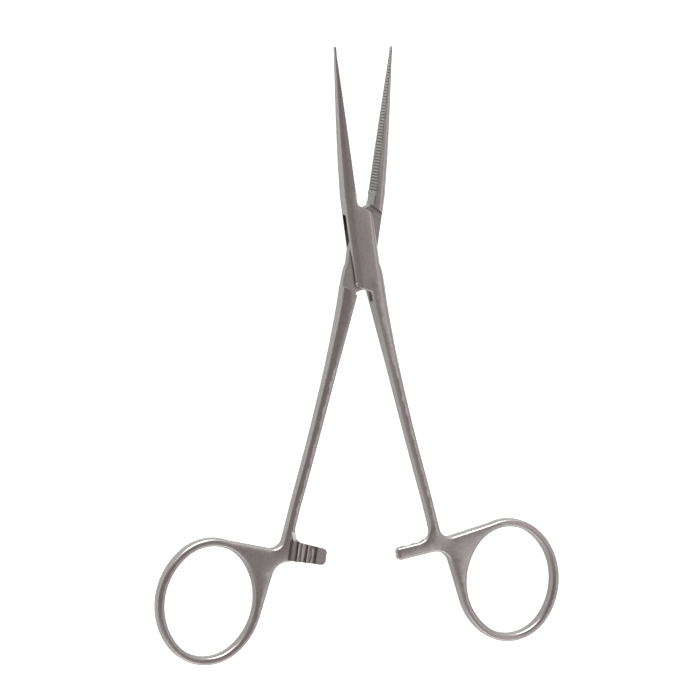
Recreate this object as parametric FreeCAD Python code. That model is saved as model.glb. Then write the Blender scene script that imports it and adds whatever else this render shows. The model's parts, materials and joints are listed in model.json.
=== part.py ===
import FreeCAD, Part
import math
import os

# Straight box-lock hemostat: two forged halves and the rivet that joins them.
# Both halves are drawn closed, tips up +Y, pivot at x = y = 0 and underside of the lock at z = 0.
# At the end they turn about the pivot to the opening in which the instrument lies.
# The box half has its jaw at -X and its shank and ring at +X, the tongue half the other way round.

# Opening
rest_opening = 16.8             # angle between the halves, degrees

# Box lock
lock_width = 6.8
lock_thickness = 4.7
flank_radius = 1.6              # rounding along the outside of the lock
slot_thickness = 2.0
slot_play = 0.04                # each tongue face to the slot
lock_top = 8.05                 # pivot to the lock's upper corner
lock_top_slope = 30.0           # degrees
lock_bottom = 8.5               # pivot to the lock's lower corner
lock_bottom_slope = 26.5
crotch_radius = 1.2
lock_edge_radius = 0.35
shoulder_gap_top = 0.3          # end of a cheek to the shoulder, closed
shoulder_gap_bottom = 0.9
slot_end_gap = 0.3              # lock's corner to the end of the slot, along the flank
slot_end_slope = 57.0

# Rivet
pin_radius = 1.25
pin_play = 0.03                 # rivet to the hole in the tongue

# Jaws
jaw_root = 12.5                 # pivot to where the jaws begin to taper
jaw_length = 47.15              # pivot to tips
jaw_root_gap = 0.5              # inner face to centreline, closed
jaw_tip_gap = 0.02
jaw_tip_width = 0.32
jaw_tip_thickness = 1.2
jaw_width_curve = 1.2           # exponents of the two tapers
jaw_thickness_curve = 1.25
tip_radius = 0.13
jaw_stations = 5

# Serrations
serration_pitch = 0.7
serration_depth = 0.2
serration_start = 13.0          # pivot to the first groove
serration_margin = 0.7          # last groove to the tip

# Shanks
shank_width = 2.14              # at its lower end
shank_taper = 0.2               # how much wider it is on each side at its top
handle_thickness = 3.25         # shank end, web, ring and ratchet arm
handle_edge = 0.9               # rounding of their edges, in three steps
shank_lean = 6.65               # degrees off the centreline, closed
shank_offset = 1.55             # centreline to shank axis at its top
shank_top = 9.0                 # pivot to the top of the shank
shank_end = 61.0                # pivot to where the shank runs into the web
shank_bow = 0.3                 # how far it bends in between
inner_flare = 0.15              # how much wider it grows out of the lock, on each side
outer_flare = 1.15
flare_start = 4.0               # pivot to where the outer flare begins
shank_stations = 8

# Finger ring and web
ring_x = 25.7
ring_y = 85.4                   # pivot to the middle of the ring
finger_width = 22.2
finger_height = 26.0
ring_band = 1.87
web_top = 72.2                  # pivot to the web's upper edge beside the shank
web_top_drop = 0.08             # that edge's end to the top of the ring
web_top_radius = 2.8
web_inner = 10.75               # centreline to the web's inner edge below the arm
web_inner_radius = 4.0
web_blend_radius = 9.0

# Ratchet arms, box half first and tongue half second
arm_bottom = 74.4               # at the web
arm_bottom_tip = 74.75
arm_top_root = (71.2, 69.5)
arm_top_tip = (71.65, 70.95)
arm_reach = 1.95                # past the centreline, closed
arm_root_radius = 3.5
arm_tip_radius = 1.05
arm_play = 0.05                 # tooth crests to the middle of the thickness
tooth_count = 3
tooth_pitch = 2.43
tooth_depth = 0.6
tooth_valley = 1.0              # flat bottom of each gap
tooth_lean = 0.15               # lean of the locking face
tooth_crest = 0.25
ramp_start = 8.3                # centreline to the top of the run-out
first_valley = 6.5              # centreline to its foot
ramp_top = 67.4                 # pivot to where the cut fades out on the shank
ramp_foot = 70.0                # and to where it has its full depth

# Worked out from these
middle = lock_thickness / 2
lock_half = lock_width / 2
lean_slope = math.tan(math.radians(shank_lean))
top_slope = math.tan(math.radians(lock_top_slope))
bottom_slope = math.tan(math.radians(lock_bottom_slope))
end_slope = math.tan(math.radians(slot_end_slope))
handle_low = middle - handle_thickness / 2
ring_side = finger_width / 2 + ring_band
reach = 3 * lock_width          # how far cutting tools run past the lock


def point(x, y, z=0.0):
    return FreeCAD.Vector(x, y, z)


def prism(corners, low, high):
    """Upright block on a polygon of (x, y) corners."""
    loop = [point(x, y, low) for x, y in corners]
    face = Part.Face(Part.makePolygon(loop + [loop[0]]))
    return face.extrude(point(0, 0, high - low))


def upright_edges(shape, x, y):
    """Edges along Z at one place in plan."""
    found = []
    for edge in shape.Edges:
        box = edge.BoundBox
        away = math.hypot(box.Center.x - x, box.Center.y - y)
        if away < 0.05 and max(box.XLength, box.YLength) < 0.01:
            found.append(edge)
    return found


def section(inner, outer, half, inner_radius, outer_radius):
    """Rounded rectangle in X and Z between the sides inner and outer, half its thickness each way."""
    side = math.copysign(1, outer - inner)
    corners = [
        (outer, middle + half, side, 1, outer_radius),
        (inner, middle + half, -side, 1, inner_radius),
        (inner, middle - half, -side, -1, inner_radius),
        (outer, middle - half, side, -1, outer_radius),
    ]
    cut = 1 - math.sqrt(0.5)
    runs = []
    for i, (x, z, sx, sz, radius) in enumerate(corners):
        if radius == 0:
            runs.append((point(x, 0, z), point(x, 0, z), None))
            continue
        ends = [point(x, 0, z - sz * radius), point(x - sx * radius, 0, z)]
        if i % 2:
            ends.reverse()
        midway = point(x - sx * cut * radius, 0, z - sz * cut * radius)
        runs.append((ends[0], ends[1], Part.Arc(ends[0], midway, ends[1])))
    edges = []
    for i, (start, end, arc) in enumerate(runs):
        if arc:
            edges.append(arc.toShape())
        edges.append(Part.makeLine(end, runs[(i + 1) % 4][0]))
    return Part.Wire(edges)


def stepped_corner(radius, swell):
    """Three chords for a rounded corner, each end as (across, down) from the corner itself.

    At swell 0 they lie inside the true arc, at swell 1 around it.
    """
    distance = radius * (1 + (1 / math.cos(math.pi / 16) - 1) * swell)
    steps = []
    for i in range(4):
        angle = math.radians(30 * i + (11.25 - 7.5 * i) * swell)
        across = radius - distance * math.cos(angle)
        down = radius - distance * math.sin(angle)
        steps.append((across, down))
    return steps


def stepped_section(inner, outer, half, inner_radius, outer_radius, swell):
    """The same rectangle with its corners in three steps."""
    corners = [
        (outer, 1, 1, outer_radius),
        (inner, -1, 1, inner_radius),
        (inner, -1, -1, inner_radius),
        (outer, 1, -1, outer_radius),
    ]
    loop = []
    for x, side, rise, radius in corners:
        steps = stepped_corner(radius, swell)
        if side != rise:
            steps.reverse()
        for across, down in steps:
            loop.append(point(x - side * across, 0, middle + rise * (half - down)))
    return Part.makePolygon(loop + [loop[0]])


def round_flat_edges(shape, radius, wanted):
    """Rounds the edges in the lock's two flat faces whose middle point passes the test."""
    chosen = []
    for edge in shape.Edges:
        box = edge.BoundBox
        flat = box.ZLength < 0.001
        on_face = abs(abs(box.Center.z - middle) - middle) < 0.001
        if flat and on_face and wanted(box.Center.x, box.Center.y):
            chosen.append(edge)
    return shape.makeFillet(radius, chosen)


# Each shape below is drawn with the jaw at -X and the shank at +X.

def lock_block():
    """The lock with its sloping ends, from the crotch between the shanks to the jaw's root."""
    low = -lock_bottom - lock_half
    wire = section(-lock_half, lock_half, middle, flank_radius, flank_radius)
    wire.translate(point(0, low))
    block = Part.Face(wire).extrude(point(0, jaw_root - low))
    block = block.cut(crotch_tool())
    block = block.cut(bottom_tool())
    top_end = lock_top + lock_edge_radius
    inner_flank = lock_half - flank_radius

    def on_ends(x, y):
        above = y > 0 and x > -jaw_root_gap - 0.1 and y < jaw_root - 0.01
        below = y < -lock_bottom and y > low + 0.01
        return (above and (y > top_end or x > inner_flank)) or below

    return round_flat_edges(block, lock_edge_radius, on_ends)


def crotch_tool():
    """What lies beyond the jaw's inner face and above the lock's sloping top."""
    corner = lock_top + (lock_half + jaw_root_gap) * top_slope
    corners = [
        (-jaw_root_gap, jaw_root + reach),
        (-jaw_root_gap, corner),
        (lock_half + reach, lock_top - reach * top_slope),
        (lock_half + reach, jaw_root + reach),
    ]
    tool = prism(corners, -1, lock_thickness + 1)
    return tool.makeFillet(crotch_radius, upright_edges(tool, -jaw_root_gap, corner))


def bottom_tool():
    """What lies below the lock's sloping bottom, beside the shank."""
    edge = shank_offset - shank_width / 2
    corner = lock_bottom + (lock_half + edge) * bottom_slope
    corners = [
        (-lock_half - reach, -lock_bottom + reach * bottom_slope),
        (-lock_half - reach, -corner - reach),
        (edge + reach * lean_slope, -corner - reach),
        (edge, -corner),
    ]
    tool = prism(corners, -1, lock_thickness + 1)
    return tool.makeFillet(crotch_radius, upright_edges(tool, edge, -corner))


def jaw(offset):
    """Half-round jaw out to the tip, grooved across its inner face."""
    wires = []
    for i in range(jaw_stations):
        u = i / (jaw_stations - 1)
        inner = jaw_root_gap + (jaw_tip_gap - jaw_root_gap) * u
        outer = lock_half - (lock_half - jaw_tip_width) * u ** jaw_width_curve
        half = middle - (middle - jaw_tip_thickness / 2) * u ** jaw_thickness_curve
        back_radius = min(flank_radius * half / middle, outer - inner - 0.05)
        wire = section(-inner, -outer, half, 0, back_radius)
        wire.translate(point(0, jaw_root + u * (jaw_length - jaw_root)))
        wires.append(wire)
    shape = Part.makeLoft(wires, True, True)
    shape = shape.cut(serration_comb(offset))
    tip = []
    for edge in shape.Edges:
        box = edge.BoundBox
        if box.YMin > jaw_length - 0.001 and box.Center.x < -jaw_tip_gap - 0.01:
            tip.append(edge)
    return shape.makeFillet(tip_radius, tip)


def serration_comb(offset):
    """Zigzag block that cuts the grooves across the jaw's inner face."""
    last = jaw_length - serration_margin
    run = (jaw_tip_gap - jaw_root_gap) / (jaw_length - jaw_root)
    corners = []
    y = serration_start + offset
    while y + serration_pitch <= last:
        for step, depth in ((0, 0), (serration_pitch / 2, serration_depth)):
            face = jaw_root_gap + run * (y + step - jaw_root)
            corners.append((-face - depth, y + step))
        y += serration_pitch
    corners.append((1, y))
    corners.append((1, serration_start + offset))
    return prism(corners, -1, lock_thickness + 1)


def shank():
    """Shank from the lock's flank to the web."""
    wires = [stepped_section(0, lock_half, middle, lock_edge_radius, flank_radius, 0)]
    wires[0].translate(point(0, -flare_start))
    for i in range(shank_stations):
        u = (i / (shank_stations - 1)) ** 1.5
        flare = (1 - u) ** 5
        bulk = (0.5 + 0.5 * math.cos(math.pi * u)) ** 3
        down = shank_top + u * (shank_end - shank_top)
        bow = shank_bow * math.sin(math.pi * u ** 1.3)
        axis = shank_offset + (down - shank_top) * lean_slope - bow
        side = shank_width / 2 + shank_taper * (1 - u)
        inner = -side - inner_flare * flare
        outer = side + outer_flare * flare
        half = handle_thickness / 2 + (middle - handle_thickness / 2) * bulk
        inner_edge = handle_edge + (lock_edge_radius - handle_edge) * bulk
        outer_edge = handle_edge + (flank_radius - handle_edge) * bulk
        wire = stepped_section(inner, outer, half, inner_edge, outer_edge, u)
        wire.rotate(point(0, 0), point(0, 0, 1), shank_lean)
        wire.translate(point(axis, -down))
        wires.append(wire)
    return Part.makeLoft(wires, True, False)


def ring_oval(margin):
    """Outline of the finger hole grown by a margin, four tangent arcs at z = 0."""
    excess = (finger_height - finger_width) / 2
    shift = excess * (1 + math.sqrt(0.5))
    ends = finger_height / 2 - shift + margin
    sides = finger_width / 2 + shift + margin
    centres = ((-shift, 0, sides), (0, shift, ends), (shift, 0, sides), (0, -shift, ends))
    arcs = []
    for i, (x, y, radius) in enumerate(centres):
        circle = Part.Circle(point(ring_x + x, y - ring_y), point(0, 0, 1), radius)
        start = math.radians(90 * i - 45)
        arcs.append(Part.Arc(circle, start, start + math.radians(90)).toShape())
    return Part.Wire(arcs)


def beside_shank(side, down):
    """Point on the straight lower end of the shank's side, square across from its axis."""
    lean = math.radians(shank_lean)
    half = side * shank_width / 2
    x = shank_offset + (down - shank_top) * lean_slope + half * math.cos(lean)
    return (x, -down + half * math.sin(lean))


def web_inner_foot():
    """Point where the web's inner edge touches the side of the ring."""
    shift = (finger_height - finger_width) / 2 * (1 + math.sqrt(0.5))
    radius = ring_side + shift
    across = web_inner - ring_x - shift
    up = ring_y - arm_bottom
    turn = math.atan2(up, across) + math.acos(radius / math.hypot(across, up))
    return (ring_x + shift + radius * math.cos(turn), radius * math.sin(turn) - ring_y)


def handle_outline(arm):
    """Outline of ring, web, shank end and ratchet arm at z = 0; the shank end runs on, to be cut off."""
    arm_root = beside_shank(-1, arm_top_root[arm])
    arm_end = (-arm_reach, -arm_top_tip[arm])
    arm_corner = (-arm_reach, -arm_bottom_tip)
    web_corner = beside_shank(1, web_top)
    run_on = shank_end - 2 * handle_edge
    corners = [
        beside_shank(-1, run_on),
        beside_shank(1, run_on),
        web_corner,
        (ring_x, finger_height / 2 + ring_band - web_top_drop - ring_y),
        (ring_x, -ring_y),
        web_inner_foot(),
        (web_inner, -arm_bottom),
        arm_corner,
        arm_end,
        arm_root,
    ]
    plate = prism(corners, 0, 1)
    ring = Part.Face(ring_oval(ring_band)).extrude(point(0, 0, 1))
    plate = plate.fuse(ring).removeSplitter()
    plan_corners = [
        (web_corner, web_top_radius),
        ((web_inner, -arm_bottom), web_inner_radius),
        (arm_root, arm_root_radius),
        (arm_end, arm_tip_radius),
        (arm_corner, arm_tip_radius),
    ]
    for (x, y), radius in plan_corners:
        plate = plate.makeFillet(radius, upright_edges(plate, x, y))
    plate = plate.makeFillet(web_blend_radius, where_web_meets_ring(plate))
    for face in plate.Faces:
        if face.BoundBox.ZMax < 0.001:
            return face


def where_web_meets_ring(plate):
    """Upright edge of the outline's corner between the web's upper edge and the ring."""
    found = []
    for edge in plate.Edges:
        box = edge.BoundBox
        beside = ring_x - ring_side < box.Center.x < ring_x and box.Center.y > -ring_y
        if beside and max(box.XLength, box.YLength) < 0.01:
            found.append(edge)
    return found


def handle(arm):
    """Ring, web, end of the shank and ratchet arm as one plate, its edges rounded in steps."""
    outline = handle_outline(arm)
    levels = [(inset, handle_low + up) for up, inset in stepped_corner(handle_edge, 1)]
    levels += [(inset, lock_thickness - z) for inset, z in reversed(levels)]
    around = []
    inside = []
    for inset, z in levels:
        layer = outline.copy()
        if inset > 0.001:
            layer = outline.makeOffset2D(-inset).Faces[0]
        layer.translate(point(0, 0, z))
        around.append(layer.OuterWire)
        hole = ring_oval(inset)
        hole.translate(point(0, 0, z))
        inside.append(hole)
    plate = Part.makeLoft(around, True, True)
    plate = plate.cut(Part.makeLoft(inside, True, True))
    plate = plate.cut(above_shank_end())
    return plate.cut(ratchet_tool(arm))


def above_shank_end():
    """Cuts off what runs on above the plate's piece of shank."""
    left = beside_shank(-2, shank_end)
    right = beside_shank(2, shank_end)
    beyond = 4 * handle_edge
    corners = [left, right, (right[0], right[1] + beyond), (left[0], left[1] + beyond)]
    return prism(corners, -1, lock_thickness + 1)


def ratchet_tool(arm):
    """Cuts the teeth, in the back of the box half's arm and the front of the tongue half's."""
    side = (-1, 1)[arm]
    top = middle + side * handle_thickness / 2
    crest = middle - side * arm_play
    valley = crest - side * tooth_depth
    profile = [(ramp_start, top)]
    for i in range(tooth_count):
        foot = first_valley - i * tooth_pitch
        face = foot - tooth_valley
        profile.append((foot, valley))
        profile.append((face, valley))
        profile.append((face - tooth_lean, crest))
        profile.append((face - tooth_lean - tooth_crest, crest))
    profile.append((-reach, crest))
    profile.append((-reach, top + side))
    profile.append((ramp_start, top + side))
    below = -arm_bottom_tip - 1
    loop = [point(x, below, z) for x, z in profile]
    face = Part.Face(Part.makePolygon(loop + [loop[0]]))
    teeth = face.extrude(point(0, -below - ramp_top))
    fade = [(below, valley), (-ramp_foot, valley), (-ramp_top, top), (-ramp_top, top + side)]
    fade.append((below, top + side))
    loop = [point(-reach, y, z) for y, z in fade]
    face = Part.Face(Part.makePolygon(loop + [loop[0]]))
    return teeth.common(face.extrude(point(2 * reach, 0)))


def blank(arm):
    """One half before it is slotted or thinned at the lock."""
    shape = lock_block()
    shape = shape.fuse([shank(), handle(arm), jaw(arm * serration_pitch / 2)])
    return shape.removeSplitter()


def pivot_hole(radius):
    return Part.makeCylinder(radius, lock_thickness + 2, point(0, 0, -1))


def box_half():
    """The half with the slot that the other one passes through."""
    left = lock_top + slot_end_gap - (reach - lock_half) * end_slope
    right = -lock_bottom - slot_end_gap + (reach - lock_half) * end_slope
    low = middle - slot_thickness / 2
    corners = [
        (-reach, left),
        (reach, left + 2 * reach * end_slope),
        (reach, right),
        (-reach, right - 2 * reach * end_slope),
    ]
    shape = blank(0)
    shape = shape.cut(prism(corners, low, low + slot_thickness))
    return shape.cut(pivot_hole(pin_radius))


def tongue_half():
    """The half that passes through the slot, thinned there to a tongue."""
    shape = blank(1).mirror(point(0, 0), point(1, 0))
    top = lock_top + shoulder_gap_top / math.cos(math.radians(lock_top_slope))
    bottom = lock_bottom + shoulder_gap_bottom / math.cos(math.radians(lock_bottom_slope))
    corners = [
        (-reach, top + (lock_half + reach) * top_slope),
        (-reach, -bottom - (lock_half - reach) * bottom_slope),
        (reach, -bottom - (lock_half + reach) * bottom_slope),
        (reach, top + (lock_half - reach) * top_slope),
    ]
    thin = slot_thickness / 2 - slot_play
    shape = shape.cut(prism(corners, middle + thin, lock_thickness + 1))
    shape = shape.cut(prism(corners, -1, middle - thin))
    return shape.cut(pivot_hole(pin_radius + pin_play))


def lock_pin():
    """Rivet, ground flush with both faces."""
    return Part.makeCylinder(pin_radius, lock_thickness)


def main():
    halves = {"box_half": (box_half(), 0.5), "tongue_half": (tongue_half(), -0.5)}
    halves["lock_pin"] = (lock_pin(), 0.5)
    os.makedirs("parts", exist_ok=True)
    for name, (shape, share) in halves.items():
        shape.rotate(point(0, 0), point(0, 0, 1), share * rest_opening)
        shape.exportStep("parts/" + name + ".step")
        print(name, shape.isValid(), len(shape.Solids), len(shape.Faces), round(shape.Volume, 2))


main()
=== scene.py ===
import json
import math

import bmesh
import bpy
import numpy as np
from mathutils import Matrix, Vector

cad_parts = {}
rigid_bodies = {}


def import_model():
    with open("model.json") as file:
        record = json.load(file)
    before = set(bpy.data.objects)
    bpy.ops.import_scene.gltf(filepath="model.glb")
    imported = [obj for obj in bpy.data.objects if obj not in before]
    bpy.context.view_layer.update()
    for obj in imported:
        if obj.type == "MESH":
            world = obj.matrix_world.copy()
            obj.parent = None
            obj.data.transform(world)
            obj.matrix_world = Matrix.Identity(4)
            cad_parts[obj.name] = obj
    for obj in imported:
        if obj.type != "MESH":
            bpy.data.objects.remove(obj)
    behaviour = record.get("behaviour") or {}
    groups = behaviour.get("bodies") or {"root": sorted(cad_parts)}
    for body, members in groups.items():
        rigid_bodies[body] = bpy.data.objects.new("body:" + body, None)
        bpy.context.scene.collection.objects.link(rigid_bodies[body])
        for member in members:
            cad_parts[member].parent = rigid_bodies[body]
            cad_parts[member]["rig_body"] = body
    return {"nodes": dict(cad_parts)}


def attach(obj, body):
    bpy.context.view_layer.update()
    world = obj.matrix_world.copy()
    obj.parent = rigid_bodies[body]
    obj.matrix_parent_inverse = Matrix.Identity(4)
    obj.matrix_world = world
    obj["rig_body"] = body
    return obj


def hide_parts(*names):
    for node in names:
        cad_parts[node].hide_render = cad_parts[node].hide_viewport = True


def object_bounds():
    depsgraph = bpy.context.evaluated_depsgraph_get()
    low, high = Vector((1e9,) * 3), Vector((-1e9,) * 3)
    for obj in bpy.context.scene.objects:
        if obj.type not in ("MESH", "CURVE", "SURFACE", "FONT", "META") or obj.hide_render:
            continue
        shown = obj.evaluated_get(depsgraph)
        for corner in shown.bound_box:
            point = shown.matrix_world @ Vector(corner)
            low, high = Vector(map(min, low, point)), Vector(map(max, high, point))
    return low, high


# Satin steel hemostat, lying on its back on a pale table and photographed from above.
# Scene units are metres; the instrument's length runs along Y and its front faces +Z.

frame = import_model()
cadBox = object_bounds()
print("frame loaded:", sorted(frame["nodes"]))

mm = 0.001
white = (1.0, 1.0, 1.0, 1.0)


# Node trees

def newNode(tree, kind, label="", **settings):
    made = tree.nodes.new(kind)
    made.label = label
    for key, value in settings.items():
        setattr(made, key, value)
    return made


def feed(tree, socket, value):
    # value is a number, a colour or another node's socket
    if isinstance(value, bpy.types.NodeSocket):
        tree.links.new(value, socket)
    else:
        socket.default_value = value


def mathNode(tree, operation, first, second):
    made = newNode(tree, "ShaderNodeMath", operation=operation)
    feed(tree, made.inputs[0], first)
    feed(tree, made.inputs[1], second)
    return made.outputs[0]


def mixNode(tree, factor, first, second, label="", blend="MIX"):
    made = newNode(tree, "ShaderNodeMix", label, data_type="RGBA", blend_type=blend)
    feed(tree, made.inputs["Factor"], factor)
    feed(tree, made.inputs["A"], first)
    feed(tree, made.inputs["B"], second)
    return made.outputs["Result"]


def rampNode(tree, value, span, label=""):
    # smooth 0 to 1 while value goes from the span's first number to its second
    made = newNode(tree, "ShaderNodeMapRange", label, interpolation_type="SMOOTHSTEP")
    made.inputs["From Min"].default_value = span[0]
    made.inputs["From Max"].default_value = span[1]
    tree.links.new(value, made.inputs["Value"])
    return made.outputs["Result"]


# Camera

cameraLook = {
    "focalPixels": 3768.8,      # focal length in pixels of the picture
    "pictureWidth": 700,        # pixels
    "sensor": 36.0,             # mm
    "yaw": 0.385306,            # radians
    "pitch": 0.125518,
    "roll": -0.003573,
    "across": 2.9378,           # mm, from the aim point to the picture's middle
    "up": -0.1709,
    "distance": 876.734,        # mm
    "aim": (0.0, -24.0, 2.93),  # mm, on the instrument
    "clip": (0.05, 20.0),       # m
}


def makeCamera(look):
    data = bpy.data.cameras.new("studioCamera")
    data.sensor_width = look["sensor"]
    data.lens = look["focalPixels"] / look["pictureWidth"] * look["sensor"]
    data.clip_start, data.clip_end = look["clip"]
    turn = (Matrix.Rotation(look["roll"], 3, "Z")
            @ Matrix.Rotation(look["pitch"], 3, "X")
            @ Matrix.Rotation(look["yaw"], 3, "Y")).transposed()
    eye = turn @ Vector((-look["across"], -look["up"], look["distance"])) + Vector(look["aim"])
    camera = bpy.data.objects.new("studioCamera", data)
    camera.matrix_world = Matrix.Translation(eye * mm) @ turn.to_4x4()
    bpy.context.scene.collection.objects.link(camera)
    bpy.context.scene.camera = camera


makeCamera(cameraLook)
print("camera placed")


# Studio: a dim room that is brighter to the right and on the near side, with a low bright
# window on the far and near sides. Spans are parts of a direction's unit vector.

roomLook = {
    "leftRoom": (0.405, 0.342, 0.354, 1),    # what the fronts reflect
    "nearRoom": (0.69, 0.622, 0.63, 1),
    "nearSpan": (-0.05, -0.7),  # along Y, where the near side begins and where it is full
    "rightRoom": (0.66, 0.60, 0.607, 1),
    "rightSpan": (0.20, 1.0),   # along X
    "farGlow": (2.55, 2.55, 2.52, 1),
    "farSpan": (0.45, 0.9),     # along Y
    "farHeight": 0.55,          # along Z, where the far window ends
    "nearGlow": (2.85, 2.8, 2.77, 1),
    "glowSpan": (-0.6, -0.95),  # along Y
    "glowHeight": 0.62,         # along Z, where the near window ends
}


def makeRoom(look):
    world = bpy.data.worlds.new("studio")
    world.use_nodes = True
    bpy.context.scene.world = world
    tree = world.node_tree
    tree.nodes.clear()
    where = newNode(tree, "ShaderNodeTexCoord")
    split = newNode(tree, "ShaderNodeSeparateXYZ", "direction")
    tree.links.new(where.outputs["Generated"], split.inputs[0])
    across, along, height = split.outputs

    near = rampNode(tree, along, look["nearSpan"], "near side")
    right = rampNode(tree, across, look["rightSpan"], "right side")
    room = mixNode(tree, near, look["leftRoom"], look["nearRoom"], "left and near")
    room = mixNode(tree, right, room, look["rightRoom"], "room")
    for colour, span, top, label in (("farGlow", "farSpan", "farHeight", "far window"),
                                     ("nearGlow", "glowSpan", "glowHeight", "near window")):
        side = rampNode(tree, along, look[span], label)
        low = rampNode(tree, height, (look[top], 0.0), "near the table")
        room = mixNode(tree, mathNode(tree, "MULTIPLY", side, low), room, look[colour], label)

    path = newNode(tree, "ShaderNodeLightPath")
    seen = mixNode(tree, path.outputs["Is Camera Ray"], room, white, "white behind the object")
    background = newNode(tree, "ShaderNodeBackground")
    tree.links.new(seen, background.inputs["Color"])
    output = newNode(tree, "ShaderNodeOutputWorld")
    tree.links.new(background.outputs[0], output.inputs["Surface"])


tableLook = {
    "size": 3.0,                # m
    "colour": (0.83, 0.87, 0.82, 1),
    "seen": 0.85,               # glow on top of the lit table, for the camera
    "inSteel": 0.39,            # and for reflections
    "below": 0.02,              # mm under the instrument
}


def makeTable(look):
    half = look["size"] / 2
    build = bmesh.new()
    corners = [build.verts.new((x * half, y * half, 0)) for x, y in ((-1, -1), (1, -1), (1, 1), (-1, 1))]
    build.faces.new(corners)
    mesh = bpy.data.meshes.new("table")
    build.to_mesh(mesh)
    build.free()
    table = bpy.data.objects.new("table", mesh)
    table.location.z = cadBox[0].z - look["below"] * mm
    bpy.context.scene.collection.objects.link(table)

    material = bpy.data.materials.new("paleTable")
    material.use_nodes = True
    tree = material.node_tree
    tree.nodes.clear()
    matt = newNode(tree, "ShaderNodeBsdfDiffuse")
    matt.inputs["Color"].default_value = look["colour"]
    path = newNode(tree, "ShaderNodeLightPath")
    seen = mathNode(tree, "MULTIPLY", path.outputs["Is Camera Ray"], look["seen"])
    mirrored = mathNode(tree, "MULTIPLY", path.outputs["Is Glossy Ray"], look["inSteel"])
    glow = newNode(tree, "ShaderNodeEmission", "pale table for camera and steel")
    tree.links.new(mathNode(tree, "ADD", seen, mirrored), glow.inputs["Strength"])
    both = newNode(tree, "ShaderNodeAddShader")
    tree.links.new(matt.outputs[0], both.inputs[0])
    tree.links.new(glow.outputs[0], both.inputs[1])
    output = newNode(tree, "ShaderNodeOutputMaterial")
    tree.links.new(both.outputs[0], output.inputs["Surface"])
    mesh.materials.append(material)


lamps = {
    "farWindow": {
        "place": (-0.15, 1.2, 0.32),
        "target": (0, 0, 0),
        "size": (1.0, 0.4),
        "watts": 15.0,
    },
    "rightCard": {
        "place": (0.28, -0.06, 0.22),
        "target": (0.28, -0.06, 0),
        "size": (0.34, 0.6),
        "watts": 0.352,
    },
}


def makeLamp(name, look):
    data = bpy.data.lights.new(name, "AREA")
    data.shape = "RECTANGLE"
    data.size, data.size_y = look["size"]
    data.energy = look["watts"]
    lamp = bpy.data.objects.new(name, data)
    away = Vector(look["place"]) - Vector(look["target"])
    turn = away.to_track_quat("Z", "Y").to_matrix().to_4x4()
    lamp.matrix_world = Matrix.Translation(look["place"]) @ turn
    lamp.visible_camera = False
    bpy.context.scene.collection.objects.link(lamp)


makeRoom(roomLook)
makeTable(tableLook)
for lampName, lampLook in lamps.items():
    makeLamp(lampName, lampLook)
print("studio ready")


# Satin steel of all three pieces

steelLook = {
    "light": (0.397, 0.381, 0.375, 1),
    "dark": (0.337, 0.321, 0.315, 1),
    "toneSpan": (0.3, 0.7),     # of the noise, from dark to light
    "patchScale": 0.30,         # per mm, broad patches of finish
    "patchDetail": 3.0,
    "speckleScale": 2.4,        # per mm, the mottle that tumbling leaves
    "speckleDetail": 2.0,
    "speckleShare": 0.75,
    "grainScale": 9.0,          # per mm, the satin itself
    "grainDetail": 2.0,
    "grainBump": 0.12,
    "grainHeight": 0.02,        # mm
    "roughLow": 0.24,
    "roughHigh": 0.36,
    "crevice": (0.60, 0.56, 0.55, 1),       # painted shade: share of the colour kept in slots, corners and recesses where shade falls
    "creviceReach": 0.45,       # mm
    "creviceSamples": 8,
    "groove": (0.113, 0.11, 0.107, 1),      # painted shade at the bottom of the jaws' serrations
    "grooveSpan": (0.2, 0.75),  # of their depth, from no painted shade to full painted shade
    "brokenEdge": 0.12,         # mm, how far the sharp edges are broken
    "edgeSamples": 4,
    "flushPin": (3.0, 3.2),     # mm from the axis; inside it the pin is ground flush and no edge shows
}


def noiseNode(tree, place, scale, detail, label):
    made = newNode(tree, "ShaderNodeTexNoise", label)
    made.inputs["Scale"].default_value = scale
    made.inputs["Detail"].default_value = detail
    tree.links.new(place, made.inputs["Vector"])
    return made.outputs["Fac"]


def steelColourAndPaintedShade(tree, place, look):
    patches = noiseNode(tree, place, look["patchScale"], look["patchDetail"], "patches of finish")
    speckle = noiseNode(tree, place, look["speckleScale"], look["speckleDetail"], "tumbling mottle")
    speckled = mathNode(tree, "MULTIPLY", speckle, look["speckleShare"])
    patched = mathNode(tree, "MULTIPLY", patches, 1 - look["speckleShare"])
    tone = rampNode(tree, mathNode(tree, "ADD", speckled, patched), look["toneSpan"], "tone")
    steel = mixNode(tree, tone, look["dark"], look["light"], "steel colour")
    # painted shade: the serrations' bottoms are darkened by how far they are sunk
    groove = newNode(tree, "ShaderNodeAttribute", "serrations", attribute_name="groove")
    paintedGrooveShade = rampNode(tree, groove.outputs["Fac"], look["grooveSpan"])
    steel = mixNode(tree, paintedGrooveShade, steel, look["groove"], "painted shade of the grooves")
    # painted shade: ambient occlusion darkens the colour in slots, corners and recesses
    paintedShade = newNode(tree, "ShaderNodeAmbientOcclusion", "painted shade in slots and corners",
                     samples=look["creviceSamples"])
    paintedShade.inputs["Distance"].default_value = look["creviceReach"] * mm
    shade = mixNode(tree, paintedShade.outputs["AO"], look["crevice"], white, "painted crevice shade")
    return mixNode(tree, 1.0, steel, shade, "steel with painted shade in crevices", "MULTIPLY")


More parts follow.
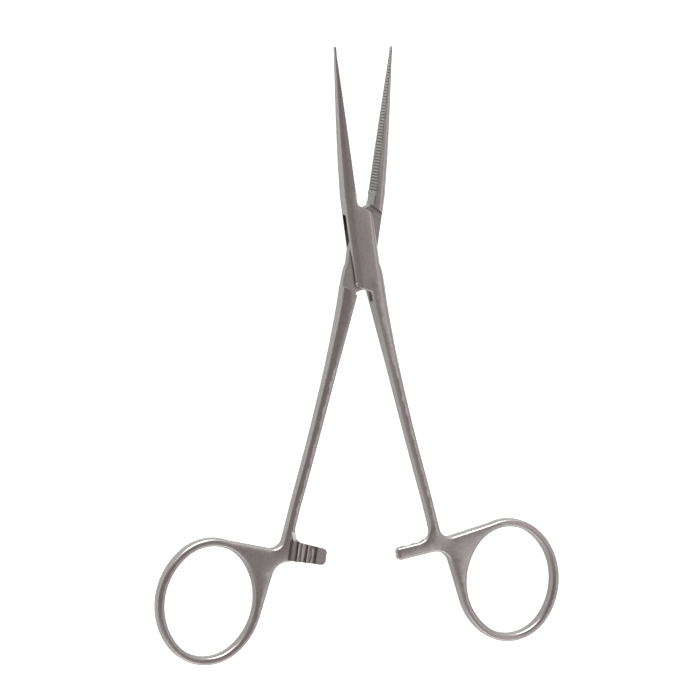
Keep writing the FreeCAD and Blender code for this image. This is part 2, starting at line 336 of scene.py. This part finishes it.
def steelNormal(tree, place, grain, look):
    # sharp edges are broken a little, but not round the flush pin
    fromAxis = newNode(tree, "ShaderNodeVectorMath", "beside the pivot axis", operation="MULTIPLY")
    fromAxis.inputs[1].default_value = (1, 1, 0)
    tree.links.new(place, fromAxis.inputs[0])
    distance = newNode(tree, "ShaderNodeVectorMath", "distance from it", operation="LENGTH")
    tree.links.new(fromAxis.outputs[0], distance.inputs[0])
    clear = rampNode(tree, distance.outputs["Value"], look["flushPin"], "not at the flush pin")
    edges = newNode(tree, "ShaderNodeBevel", "broken edges", samples=look["edgeSamples"])
    tree.links.new(mathNode(tree, "MULTIPLY", clear, look["brokenEdge"] * mm), edges.inputs["Radius"])
    bump = newNode(tree, "ShaderNodeBump", "satin grain")
    bump.inputs["Strength"].default_value = look["grainBump"]
    bump.inputs["Distance"].default_value = look["grainHeight"] * mm
    tree.links.new(grain, bump.inputs["Height"])
    tree.links.new(edges.outputs["Normal"], bump.inputs["Normal"])
    return bump.outputs["Normal"]


def satinSteel(name, look):
    material = bpy.data.materials.new(name)
    material.use_nodes = True
    tree = material.node_tree
    tree.nodes.clear()
    shader = newNode(tree, "ShaderNodeBsdfPrincipled")
    shader.inputs["Metallic"].default_value = 1.0
    where = newNode(tree, "ShaderNodeTexCoord")
    inMillimetres = newNode(tree, "ShaderNodeMapping", "coordinates in mm")
    inMillimetres.inputs["Scale"].default_value = (1 / mm, 1 / mm, 1 / mm)
    tree.links.new(where.outputs["Object"], inMillimetres.inputs["Vector"])
    place = inMillimetres.outputs[0]

    tree.links.new(steelColourAndPaintedShade(tree, place, look), shader.inputs["Base Color"])
    grain = noiseNode(tree, place, look["grainScale"], look["grainDetail"], "satin grain")
    rough = newNode(tree, "ShaderNodeMapRange", "roughness")
    rough.inputs["To Min"].default_value = look["roughLow"]
    rough.inputs["To Max"].default_value = look["roughHigh"]
    tree.links.new(grain, rough.inputs["Value"])
    tree.links.new(rough.outputs["Result"], shader.inputs["Roughness"])
    tree.links.new(steelNormal(tree, place, grain, look), shader.inputs["Normal"])
    output = newNode(tree, "ShaderNodeOutputMaterial")
    tree.links.new(shader.outputs[0], output.inputs["Surface"])
    return material


# The two halves: the frame's solids with rounded shoulders and softly crowned flats

halves = {
    "box_half": {"piece": "boxHalf", "slot": "box_steel", "opened": 8.4},   # degrees from closed
    "tongue_half": {"piece": "tongueHalf", "slot": "tongue_steel", "opened": -8.4},
}

formLook = {
    "weld": 0.0005,             # mm, corners nearer than this are one
    "cutWeld": 0.0001,          # mm, the same along the grid's cuts
    "sharpAngle": 35,           # degrees between faces that meet in an edge
    "flatFace": 0.9995,         # upward part of a face's normal, from where it is cut
    "flatCorner": 0.999,        # and of a corner's or a shoulder's, from where it counts as flat
    "gridStep": 0.8,            # mm, cuts across the flats, which carry their soft crown
    "crownShare": 0.5,          # how far the roundings' tilt comes in over the flats' rims
    "crownReach": 2.6,          # mm, over which it dies away
    "crownSweeps": 240,         # passes that spread it
    "crownNearest": 0.05,       # mm, added to each distance, so that close points don't rule
    "crownLeastWeight": 1e-9,   # keeps a lone point from dividing by nothing
    "shoulderEdge": 0.30,       # mm, rounding of the lock's cross edges
    "shoulderSteps": 3,
    "shoulderProfile": 0.5,     # round
    "shoulderLean": 0.05,       # most upward part of a shoulder's end face
    "shoulderAcross": 0.55,     # least part of its normal along the instrument
    "lockReach": 14.0,          # mm from the pivot
    "pinReach": 3.0,            # mm, the edges of the pin's hole stay as they are
    "grooveDepth": 0.2,         # mm, of the jaws' serrations
    "grooveMargin": 0.02,       # mm past their bottoms
    "grooveFrom": (12.9, 0.5),  # mm from the pivot and from the closing plane
    "grooveTo": (47.15, 0.02),
}


def roundShoulders(build, look):
    # the edges across the instrument where the lock's cheek and shoulders end
    chosen = []
    for edge in build.edges:
        away = [vertex.co.to_2d().length for vertex in edge.verts]
        if len(edge.link_faces) != 2 or max(away) > look["lockReach"] * mm:
            continue
        if min(away) < look["pinReach"] * mm:
            continue
        level, upright = sorted(edge.link_faces, key=lambda face: -abs(face.normal.z))
        if abs(level.normal.z) <= look["flatCorner"] or abs(upright.normal.z) >= look["shoulderLean"]:
            continue
        rise = upright.calc_center_median().z - level.calc_center_median().z
        if abs(upright.normal.y) > look["shoulderAcross"] and level.normal.z * rise < 0:
            chosen.append(edge)
    bmesh.ops.bevel(build, geom=chosen, offset=look["shoulderEdge"] * mm, segments=look["shoulderSteps"],
                    profile=look["shoulderProfile"], affect="EDGES", clamp_overlap=True)
    build.normal_update()


def cutFlats(build, look):
    # a grid of edges over the faces that lie in the instrument's plane
    step = look["gridStep"] * mm
    for axis, normal in ((0, Vector((1, 0, 0))), (1, Vector((0, 1, 0)))):
        reach = [vertex.co[axis] for vertex in build.verts]
        place = math.floor(min(reach) / step) * step
        while place < max(reach):
            flats = [face for face in build.faces if abs(face.normal.z) > look["flatFace"]
                     and min(v.co[axis] for v in face.verts) < place < max(v.co[axis] for v in face.verts)]
            if flats:
                edges = {edge for face in flats for edge in face.edges}
                corners = {corner for face in flats for corner in face.verts}
                bmesh.ops.bisect_plane(build, geom=flats + list(edges) + list(corners),
                                       dist=look["cutWeld"] * mm, plane_co=normal * place, plane_no=normal)
            place += step


def meshNumbers(items, name, width=1, kind=float):
    # one property of all the mesh's corners, faces or vertices
    numbers = np.empty(len(items) * width, dtype=kind)
    items.foreach_get(name, numbers)
    return numbers.reshape(-1, width) if width > 1 else numbers


def cornerPoints(mesh, normals):
    # corners of one vertex that share a normal are one point; pairs are its neighbours
    normalSteps = 500
    vertexOf = meshNumbers(mesh.loops, "vertex_index", kind=int)
    keys = np.column_stack([vertexOf, np.round(normals * normalSteps).astype(int)])
    found, first, point = np.unique(keys, axis=0, return_index=True, return_inverse=True)
    point = point.ravel()
    starts = meshNumbers(mesh.polygons, "loop_start", kind=int)
    totals = meshNumbers(mesh.polygons, "loop_total", kind=int)
    following = np.arange(len(vertexOf)) + 1
    following[starts + totals - 1] = starts
    pairs = np.unique(np.sort(np.column_stack([point, point[following]]), axis=1), axis=0)
    pairs = np.vstack([pairs, pairs[:, ::-1]])
    places = meshNumbers(mesh.vertices, "co", 3)[found[:, 0]]
    return point, places, normals[first].copy(), pairs


def crownNormals(mesh, normals, look):
    # Shading normals that lean out towards the rounded rims of each flat, as on a tumbled blank.
    point, places, lean, pairs = cornerPoints(mesh, normals)
    here, there = pairs[:, 0], pairs[:, 1]
    flat = np.abs(lean[:, 2]) > look["flatCorner"]
    outward = flat[here] & ~flat[there]
    rim = np.zeros(len(lean), dtype=bool)
    rim[here[outward]] = True
    pull = np.zeros_like(lean)
    np.add.at(pull, here[outward], lean[there[outward]])
    count = np.bincount(here[outward], minlength=len(lean))
    share = look["crownShare"]
    lean[rim] = lean[rim] * (1 - share) + share * pull[rim] / count[rim][:, None]

    # from the rims the tilt spreads over the flat and dies away with the distance
    inside = flat & ~rim
    level = flat[here] & flat[there] & inside[here]
    here, there = here[level], there[level]
    length = np.linalg.norm(places[here] - places[there], axis=1) + look["crownNearest"] * mm
    weight = mm / length
    fading = np.bincount(here, weight * (length / (look["crownReach"] * mm)) ** 2, len(lean)) / 2
    total = np.maximum(np.bincount(here, weight, len(lean)) + fading, look["crownLeastWeight"])
    up = np.sign(lean[:, 2])
    for axis in (0, 1):
        tilt = np.where(rim, lean[:, axis], 0.0)
        for sweep in range(look["crownSweeps"]):
            mean = np.bincount(here, weight * tilt[there], len(lean))
            tilt[inside] = mean[inside] / total[inside]
        lean[inside, axis] = tilt[inside]
    lean[inside, 2] = up[inside]
    lean /= np.linalg.norm(lean, axis=1)[:, None]
    return lean[point]


def markGrooves(mesh, opened, look):
    # 1 in the bottom of the jaw's serrations and 0 everywhere else, where the material paints shade into
    # the serrations
    closing = Matrix.Rotation(-math.radians(opened), 3, "Z")
    (rootAlong, rootGap), (tipAlong, tipGap) = look["grooveFrom"], look["grooveTo"]
    depth = look["grooveDepth"]
    sunk = []       # mm below the crests for each vertex, or None off the serrations
    for vertex in mesh.vertices:
        closed = closing @ vertex.co / mm
        crest = rootGap + (tipGap - rootGap) * (closed.y - rootAlong) / (tipAlong - rootAlong)
        outside = closed.y < rootAlong or abs(closed.x) > crest + depth + look["grooveMargin"]
        sunk.append(None if outside else max(abs(closed.x) - crest, 0.0))
    groove = mesh.attributes.new("groove", "FLOAT", "CORNER")
    for face in mesh.polygons:
        if any(sunk[vertex] is None for vertex in face.vertices):
            continue
        for loop in face.loop_indices:
            groove.data[loop].value = sunk[mesh.loops[loop].vertex_index] / depth


def evenNormals(piece):
    # corner normals in which large faces count for more than slivers
    weighted = piece.modifiers.new("evenShading", "WEIGHTED_NORMAL")
    weighted.keep_sharp = True
    weighted.mode = "FACE_AREA"
    shown = piece.evaluated_get(bpy.context.evaluated_depsgraph_get()).data
    normals = meshNumbers(shown.corner_normals, "vector", 3)
    piece.modifiers.remove(weighted)
    return normals


def dressHalf(node, settings, material, look):
    source = frame["nodes"][node]
    mesh = source.data.copy()
    mesh.name = settings["piece"]
    build = bmesh.new()
    build.from_mesh(mesh)
    bmesh.ops.remove_doubles(build, verts=build.verts, dist=look["weld"] * mm)
    roundShoulders(build, look)
    cutFlats(build, look)
    build.to_mesh(mesh)
    build.free()
    if "custom_normal" in mesh.attributes:
        mesh.attributes.remove(mesh.attributes["custom_normal"])
    mesh.shade_smooth()
    mesh.set_sharp_from_angle(angle=math.radians(look["sharpAngle"]))
    mesh.materials.clear()
    mesh.materials.append(material)
    markGrooves(mesh, settings["opened"], look)

    made = bpy.data.objects.new(settings["piece"], mesh)
    bpy.context.scene.collection.objects.link(made)
    crowned = crownNormals(mesh, evenNormals(made), look)
    mesh.normals_split_custom_set(crowned.tolist())
    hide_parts(node)
    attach(made, source["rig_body"])
    print(settings["piece"], "dressed,", len(mesh.polygons), "faces")


steel = satinSteel("satinSteel", steelLook)
for node, settings in halves.items():
    dressHalf(node, settings, steel, formLook)

# the pin keeps the frame's own solid
pin = frame["nodes"]["lock_pin"]
pin.data.materials.clear()
pin.data.materials.append(steel)
print("pin dressed")

bpy.context.scene.view_settings.view_transform = "Standard"
